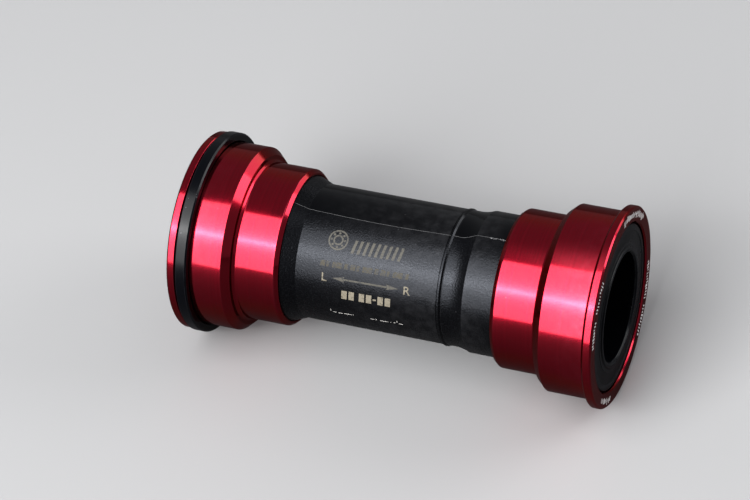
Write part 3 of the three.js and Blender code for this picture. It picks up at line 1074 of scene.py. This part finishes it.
# %% The tick tree
def tick_tree():
    tree = bpy.data.node_groups.new("Ticks on an arc", "GeometryNodeTree")
    given, result = sockets(
        tree,
        [("Geometry", "Geometry", None), ("Count", "Int", 14), ("Radius", "Float", 0.0203),
         ("Face", "Float", 0.0481), ("Start", "Float", 0.0), ("Step", "Float", 0.03),
         ("Width", "Float", 0.0004), ("Height", "Float", 0.0012), ("Thickness", "Float", 0.00002),
         ("Seed", "Int", 1), ("Material", "Material", None)],
        [("Ticks", "Geometry", None)],
    )
    points = add(tree, "GeometryNodePoints", {"Count": given["Count"]})
    index = add(tree, "GeometryNodeInputIndex").outputs[0]
    angle = calc(tree, "ADD", given["Start"], calc(tree, "MULTIPLY", index, given["Step"]))

    def random(low, high, offset):
        """A seeded random number for each tick."""
        made = add(tree, "FunctionNodeRandomValue", {"Seed": calc(tree, "ADD", given["Seed"], offset)},
                   data_type="FLOAT")
        made.inputs[2].default_value, made.inputs[3].default_value = low, high
        return made.outputs[1]

    jitter = calc(tree, "MULTIPLY", random(-0.22, 0.22, 7.0), given["Height"])
    radius = calc(tree, "ADD", given["Radius"], jitter)
    place = add(tree, "ShaderNodeCombineXYZ", {
        "X": given["Face"],
        "Y": calc(tree, "MULTIPLY", calc(tree, "MULTIPLY", radius, calc(tree, "COSINE", angle)), -1.0),
        "Z": calc(tree, "MULTIPLY", radius, calc(tree, "SINE", angle)),
    })
    placed = add(tree, "GeometryNodeSetPosition",
                 {"Geometry": points.outputs[0], "Position": place.outputs[0]})
    size = add(tree, "ShaderNodeCombineXYZ", {
        "X": given["Thickness"],
        "Y": calc(tree, "MULTIPLY", given["Height"], random(0.45, 1.0, 3.0)),
        "Z": calc(tree, "MULTIPLY", given["Width"], random(0.35, 1.0, 5.0)),
    })
    bar = add(tree, "GeometryNodeMeshCube", {"Size": (1.0, 1.0, 1.0)})
    turn = add(tree, "ShaderNodeCombineXYZ", {"X": calc(tree, "MULTIPLY", angle, -1.0)})
    bars = add(tree, "GeometryNodeInstanceOnPoints",
               {"Points": placed.outputs[0], "Instance": bar.outputs[0], "Rotation": turn.outputs[0],
                "Scale": size.outputs[0]})
    finish_geometry(tree, bars.outputs[0], given["Material"], result["Ticks"])
    return tree


TICKS = tick_tree()
print("tick tree:", len(TICKS.nodes), "nodes")

# %% [markdown]
# Each group is one short row around the face, and a face's rows are joined into one mesh.

# %% Mark both flanges
TICK_STEP = 2.0
TICK_GROUPS = ((127, 23), (206, 13), (-128, 10), (50, 10), (27, 9), (-48, 11))   # middle in degrees, count


def merged(name, pieces):
    """Joins several plain meshes into one new object, and removes the parts."""
    shape = bmesh.new()
    for piece in pieces:
        shape.from_mesh(piece.data)
    mesh = bpy.data.meshes.new(name)
    shape.to_mesh(mesh)
    shape.free()
    mesh.materials.append(pieces[0].data.materials[0])
    for piece in pieces:
        bpy.data.objects.remove(piece)
    joined = bpy.data.objects.new(name, mesh)
    bpy.context.scene.collection.objects.link(joined)
    return joined


for side_name, side in SIDES:
    low_x, high_x, flange_r = span(side_name + "_cup")
    face_x = (high_x if side > 0 else low_x) * MM
    rows = []
    for i, (middle, count) in enumerate(TICK_GROUPS):
        start = middle - TICK_STEP * (count - 1) / 2
        blank = bpy.data.meshes.new("tick_seed")
        rows.append(run_tree(TICKS, f"{side_name}_ticks_{i}", blank, {
            "Count": count, "Face": face_x, "Start": math.radians(start), "Step": math.radians(TICK_STEP),
            "Radius": (flange_r - 1.7) * MM, "Width": 0.00060, "Height": 0.00150, "Seed": 11 + i,
            "Material": LASER}))
    marks = merged(side_name + "_flange_marks", rows)
    settle(marks, "housing", "red_anodised")

# %% [markdown]
# ## Print on the sleeve
#
# The sleeve is printed with the direction to fit it: an L, an R and a double arrow between
# them. Those stay, since they are plain assembly signs. Everything else that was printed there
# is replaced by bars. Flat shapes are drawn in millimetres along the tube (u) and around it
# (v), cut into narrow strips so that they can bend, and laid on the surface with a thin body.
# Extruding a loose sheet already turns its first faces over, so they become the underside.

# %% Lay flat shapes on the sleeve
PRINT_LIFT = 0.012
PRINT_BODY = 0.030


def laid_on_sleeve(name, mesh, material):
    """Bends a flat mesh, x along the tube and y around it in mm, onto the sleeve."""
    shape = bmesh.new()
    shape.from_mesh(mesh)
    bmesh.ops.triangulate(shape, faces=shape.faces[:])
    low = min(vert.co.y for vert in shape.verts)
    high = max(vert.co.y for vert in shape.verts)
    for step in range(1, int((high - low) / 0.25) + 1):
        bmesh.ops.bisect_plane(shape, geom=shape.verts[:] + shape.edges[:] + shape.faces[:],
                               plane_co=(0, low + 0.25 * step, 0), plane_no=(0, 1, 0), dist=1e-4)
    bmesh.ops.remove_doubles(shape, verts=shape.verts[:], dist=1e-4)
    for vert in shape.verts:
        vert.co = Vector((vert.co.x, vert.co.y, 0.0))
    bmesh.ops.recalc_face_normals(shape, faces=shape.faces[:])
    if shape.faces[0].normal.z < 0:
        bmesh.ops.reverse_faces(shape, faces=shape.faces[:])
    top = shape.faces[:]
    raised = bmesh.ops.extrude_face_region(shape, geom=top, use_keep_orig=True)
    lifted = {item for item in raised["geom"] if isinstance(item, bmesh.types.BMVert)}
    for vert in shape.verts:
        height = PRINT_LIFT if vert in lifted else PRINT_LIFT - PRINT_BODY
        vert.co = on_sleeve(vert.co.x, vert.co.y / TUBE_R, height)
    result = bpy.data.meshes.new(name)
    shape.to_mesh(result)
    shape.free()
    result.materials.append(material)
    made = bpy.data.objects.new(name, result)
    bpy.context.scene.collection.objects.link(made)
    return made


def outline(corners):
    """One flat face from its corners, (u, v) in millimetres."""
    mesh = bpy.data.meshes.new("outline")
    mesh.from_pydata([(u, v, 0) for u, v in corners], [], [list(range(len(corners)))])
    return mesh


def letter(character, u, v, size, lean):
    """A letter of Blender's own font as a flat mesh with its lower left corner at (u, v)."""
    text = bpy.data.curves.new("letter", "FONT")
    text.body = character
    text.size = size
    text.offset = 0.035
    text.resolution_u = 6        # more steps leave slivers that don't close
    holder = bpy.data.objects.new("letter", text)
    bpy.context.scene.collection.objects.link(holder)
    bpy.context.view_layer.update()
    mesh = bpy.data.meshes.new_from_object(holder.evaluated_get(bpy.context.evaluated_depsgraph_get()))
    mesh.transform(Matrix.Translation((u, v, 0)) @ Matrix.Rotation(lean, 4, "Z"))
    bpy.data.objects.remove(holder)
    return mesh


print("the tube is", round(math.tau * TUBE_R, 1), "mm around")

# %% [markdown]
# The print runs at a slight slant to the axis. The arrow and its letters come first. Above them
# is a faint worn row, then a plain pictogram of a bearing with a row of stripes, and below them
# short bars. The lowest row is only a few white scraps. Four inks make four meshes.

# %% The arrow, its letters, the pictogram and the bars
SLANT = 0.02


def around_mm(degrees):
    """Millimetres around the tube for an angle from -Y upwards."""
    return math.radians(degrees) * TUBE_R


def slanted(corners):
    """Shears corners so that rows climb a little along the tube."""
    return [(u, v + SLANT * u) for u, v in corners]


def bar(u, v, width, height, lean=0.0):
    """A bar from its lower left corner; lean shifts its top along u."""
    return outline(slanted([(u, v), (u + width, v), (u + width + lean, v + height), (u + lean, v + height)]))


def disc(u, v, radius, count=16):
    """A filled circle."""
    spokes = [math.tau * i / count for i in range(count)]
    return outline([(u + radius * math.cos(a), v + radius * math.sin(a)) for a in spokes])


def hoop(u, v, outer, inner, count=40):
    """A flat ring, drawn as two rows of points with faces between them."""
    points = []
    for radius in (outer, inner):
        points += [(u + radius * math.cos(turn), v + radius * math.sin(turn), 0)
                   for turn in (math.tau * i / count for i in range(count))]
    faces = [(i, (i + 1) % count, count + (i + 1) % count, count + i) for i in range(count)]
    mesh = bpy.data.meshes.new("hoop")
    mesh.from_pydata(points, [], faces)
    return mesh


def arrow(left, right, v):
    """A double arrow with long heads."""
    head, half, neck = 2.9, 0.62, 2.4
    shaft = bar(left + neck, v - 0.20, right - left - 2 * neck, 0.40)
    heads = []
    for end, way in ((left, -1), (right, 1)):
        back_x = end - way * head
        heads.append([(end, v), (back_x, v - way * half), (end - way * neck, v), (back_x, v + way * half)])
    return [shaft, *[outline(slanted(corners)) for corners in heads]]


def clear_shapes():
    low = around_mm(27.5) - 1.05
    shapes = [letter("L", -14.9, low - SLANT * 15, 2.7, SLANT), letter("R", 3.8, low, 2.7, SLANT)]
    for start, count in ((-10.2, 2), (-6.2, 2), (-1.9, 2)):
        shapes += [bar(start + 1.65 * i, around_mm(9.2), 1.25, 2.1, 0.1) for i in range(count)]
    shapes.append(bar(-2.95, around_mm(12.6), 0.75, 0.42))
    return shapes


def fleck_shapes():
    """Scraps of a row that has nearly gone: (u, drop, width, height) in millimetres."""
    scraps = ((-13.1, 0.0, 0.14, 0.55), (-12.6, 0.45, 0.8, 0.14), (-11.3, 0.50, 0.9, 0.20),
              (-10.0, 0.42, 1.7, 0.15), (-8.0, 0.30, 0.25, 0.15), (-3.9, 0.55, 0.9, 0.14),
              (-2.7, 0.62, 0.2, 0.42), (-1.7, 0.60, 1.9, 0.17), (0.6, 0.50, 0.3, 0.14),
              (1.4, 0.44, 0.5, 0.16), (2.2, 0.10, 0.14, 0.50), (2.6, 0.52, 1.0, 0.15))
    return [bar(u, around_mm(-7.2) - drop, width, height) for u, drop, width, height in scraps]


def dim_shapes():
    u, v = -12.3, around_mm(58.5)
    shapes = arrow(-12.4, 2.8, around_mm(27.2))
    shapes += [hoop(u, v, 2.25, 1.90), hoop(u, v, 1.15, 0.80)]
    shapes += [disc(u + 1.53 * math.cos(math.tau * i / 8), v + 1.53 * math.sin(math.tau * i / 8), 0.27)
               for i in range(8)]
    shapes += [bar(-9.0 + 1.32 * i, around_mm(50.0), 0.62, 3.0, 0.55) for i in range(9)]
    return shapes


def faint_shapes():
    widths = (1.1, 0.6, 1.4, 0.8, 0.8)
    return [bar(-15.4 + 1.38 * i, around_mm(36.2), widths[i % 5], 1.25, 0.1) for i in range(15)]


for row_name, shapes, ink in (("clear", clear_shapes(), INK), ("dim", dim_shapes(), DIM_INK),
                              ("faint", faint_shapes(), FAINT_INK), ("flecks", fleck_shapes(), FLECK_INK)):
    parts = [laid_on_sleeve(f"{row_name}_{i}", mesh, ink) for i, mesh in enumerate(shapes)]
    settle(merged(f"sleeve_print_{row_name}", parts), "housing", "moulded_black")

# %% [markdown]
# ## Floor, lamps and camera
#
# The stage is plain: a floor under the part and one large soft lamp in front of it, which is the bright band
# in the red cups. The floor is pale to the camera but painted dark grey to every other ray, which paints a
# dark reflection of it into the part. A lamp that is brighter in the middle gives the band its hot centre
# line. Two smaller lamps to the right and behind light the chamfers and the shoulder, and a weak panel
# overhead adds the dim upper band at the right. The picture's tones are set last: a plain view with a medium
# high contrast look, which deepens the blacks.

# %% The floor
floor_z = cad_box[0][2]
bpy.ops.mesh.primitive_plane_add(size=6.0, location=(0, 0, floor_z))
floor = bpy.context.active_object
floor.name = "floor"


def floor_finish():
    """Pale to the camera, and painted dark grey to every other ray: a painted dark reflection in the part,
    and darker to the light that reaches the part from below.
    """
    finish, tree, shader = new_finish("Pale floor, painted dark in reflections", Roughness=0.8)
    seen = add(tree, "ShaderNodeLightPath").outputs["Is Camera Ray"]
    # Camera rays get the pale grey. Every other ray gets a painted dark grey, a painted reflection of a dark
    # floor.
    join(tree, mix(tree, seen, (0.085, 0.085, 0.088, 1.0), (0.43, 0.43, 0.435, 1.0)), shader["Base Color"])
    return finish


floor.data.materials.append(floor_finish())
print("floor at", round(floor_z * 1000, 2), "mm")

# %% The lamps
def lamp(name, place, size, radiance, level_with_part=True):
    """A soft rectangular lamp at place, facing the part; size is along X and upright, in metres."""
    light = bpy.data.lights.new(name, "AREA")
    light.shape = "RECTANGLE"
    light.size, light.size_y = size
    light.energy = radiance * math.pi * size[0] * size[1]
    place = Vector(place)
    back = Vector((0.0, place.y, place.z)) if level_with_part else place.copy()
    back.normalize()
    across = Vector((1, 0, 0)) if level_with_part else Vector((-back.y, back.x, 0)).normalized()
    turn = Matrix((across, back.cross(across), back)).transposed()
    holder = bpy.data.objects.new(name, light)
    holder.matrix_world = Matrix.Translation(place) @ turn.to_4x4()
    holder.visible_camera = False
    bpy.context.scene.collection.objects.link(holder)
    return holder


def around(degrees, sideways, distance=1.0):
    """A place at an angle about X, from -Y upwards."""
    angle = math.radians(degrees)
    return sideways, -distance * math.cos(angle), distance * math.sin(angle)


def shade_lamp(holder, glows, floor_level=1.0):
    """Brightens strips across a lamp; glows are (strength, middle, half width), 0 to 1 upwards."""
    holder.data.use_nodes = True
    tree = holder.data.node_tree
    upright = add(tree, "ShaderNodeSeparateXYZ",
                  {0: add(tree, "ShaderNodeNewGeometry").outputs["Parametric"]}).outputs["Y"]
    total = floor_level
    for strength, middle, half_width in glows:
        offset = calc(tree, "DIVIDE", calc(tree, "SUBTRACT", upright, middle), half_width)
        falloff = calc(tree, "EXPONENT", calc(tree, "MULTIPLY", calc(tree, "MULTIPLY", offset, offset), -1.0))
        total = calc(tree, "ADD", calc(tree, "MULTIPLY", falloff, strength), total)
    join(tree, total, tree.nodes["Emission"].inputs["Strength"])


front_lamp = lamp("front_softbox", around(41.5, -0.28), (0.75, 1.70), 3.5)
shade_lamp(front_lamp, [(0.45, 0.5, 0.20), (1.1, 0.5, 0.085), (1.4, 0.5, 0.030)])
side_lamp = lamp("side_softbox", (0.68, 0.36, 0.45), (0.45, 0.45), 3.6, level_with_part=False)
back_lamp = lamp("back_softbox", (0.50, 0.86, 0.30), (0.60, 0.50), 1.5, level_with_part=False)
top_panel = lamp("top_panel", around(104.0, 0.15, 1.15), (0.85, 0.90), 1.1)
shade_lamp(top_panel, [(1.0, 0.0, 0.42)], 0.0)
print("lamps:", [holder.name for holder in (front_lamp, side_lamp, back_lamp, top_panel)])

# %% [markdown]
# The camera looks at the part from the drive side and above. It is built from its direction,
# its distance and how far the part sits from the middle of the picture. Then the whole view is
# tipped about X, with the lamps placed to suit, so that the tall front lamp clears the floor. A
# round part looks the same from there, though the camera no longer stands level.

# %% The camera
def add_camera():
    azimuth, elevation = math.radians(20.64), math.radians(30.10)
    lean = math.radians(15.0)        # the whole view is tipped up about X
    distance = 0.720
    aim_right, aim_up = -7.49 * MM, 3.83 * MM    # where the view's centre passes the part's origin
    back = Vector((math.sin(azimuth) * math.cos(elevation), -math.cos(azimuth) * math.cos(elevation),
                   math.sin(elevation)))
    right = Vector((math.cos(azimuth), math.sin(azimuth), 0))
    up = back.cross(right)
    place = back * distance + right * aim_right + up * aim_up
    tip = Matrix.Rotation(-lean, 3, "X")
    turn = Matrix((tip @ right, tip @ up, tip @ back)).transposed()
    data = bpy.data.cameras.new("camera")
    data.sensor_width = 36.0
    data.lens = 158.74
    data.clip_end = 20
    holder = bpy.data.objects.new("camera", data)
    holder.matrix_world = Matrix.Translation(tip @ place) @ turn.to_4x4()
    bpy.context.scene.collection.objects.link(holder)
    bpy.context.scene.camera = holder
    return holder


camera = add_camera()
world = bpy.data.worlds.new("dim room")
bpy.context.scene.world = world
world.use_nodes = True
world.node_tree.nodes["Background"].inputs["Color"].default_value = (0.95, 0.97, 1.0, 1.0)
world.node_tree.nodes["Background"].inputs["Strength"].default_value = 0.26
bpy.context.scene.view_settings.view_transform = "Standard"
bpy.context.scene.view_settings.look = "Medium High Contrast"
print("camera at", [round(value, 3) for value in camera.matrix_world.translation])

# %% [markdown]
# ## The CAD model's size
#
# The CAD model's box is printed, in millimetres.

# %% Print the CAD model's box
print("cad", [[round(v * 1000, 2) for v in c] for c in cad_box])
